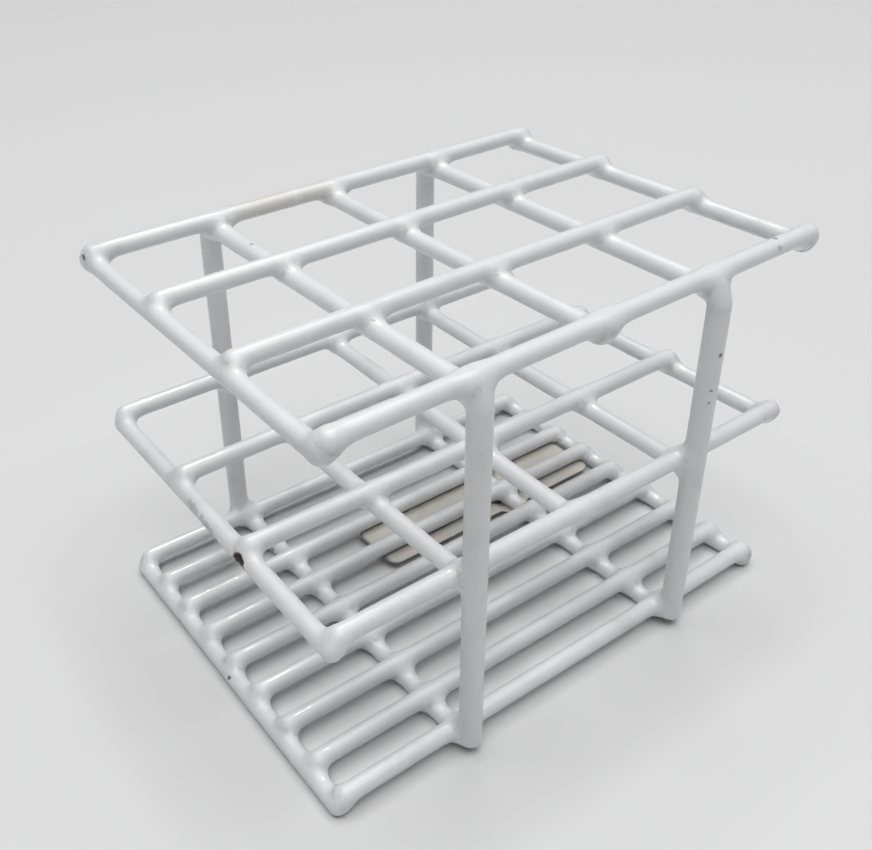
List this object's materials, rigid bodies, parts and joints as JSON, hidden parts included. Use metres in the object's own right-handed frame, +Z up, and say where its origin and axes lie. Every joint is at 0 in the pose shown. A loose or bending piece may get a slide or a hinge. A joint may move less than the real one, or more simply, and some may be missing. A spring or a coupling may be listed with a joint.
{
  "type": "test tube rack",
  "caption": "Open coated wire rack: stacked welded wire grids carried by square hoops hold tubes upright over a wire floor with a blank label strip.",
  "frame": {"origin": "On the bench, under the middle of the rack: halfway between the end cross wires and between the outer long wires, at the height of the flats the rack rests on.", "axes": "+X along the rack, towards the end with the longer top front wire tip; +Y from the front to the back, the label strip lying behind the middle line; +Z up out of the bench."},
  "size_m": [0.1255, 0.096, 0.0891],
  "materials": {
    "coated_wire": "gloss",
    "label_strip": "matte"
  },
  "bodies": {
    "root": {"hoop_left": "coated_wire", "hoop_right": "coated_wire", "top_cross_wire_1": "coated_wire", "top_cross_wire_2": "coated_wire", "top_cross_wire_3": "coated_wire", "top_long_wire_1": "coated_wire", "top_long_wire_2": "coated_wire", "top_long_wire_3": "coated_wire", "top_long_wire_4": "coated_wire", "middle_cross_wire_1": "coated_wire", "middle_cross_wire_2": "coated_wire", "middle_cross_wire_3": "coated_wire", "middle_cross_wire_4": "coated_wire", "middle_cross_wire_5": "coated_wire", "middle_long_wire_1": "coated_wire", "middle_long_wire_2": "coated_wire", "middle_long_wire_3": "coated_wire", "middle_long_wire_4": "coated_wire", "base_cross_wire_1": "coated_wire", "base_cross_wire_2": "coated_wire", "base_cross_wire_3": "coated_wire", "base_cross_wire_4": "coated_wire", "base_long_wire_1": "coated_wire", "base_long_wire_2": "coated_wire", "base_long_wire_3": "coated_wire", "base_long_wire_4": "coated_wire", "base_long_wire_5": "coated_wire", "base_long_wire_6": "coated_wire", "base_long_wire_7": "coated_wire", "base_long_wire_8": "coated_wire", "base_long_wire_9": "coated_wire", "base_label_strip": "label_strip"}
  },
  "joints": []
}
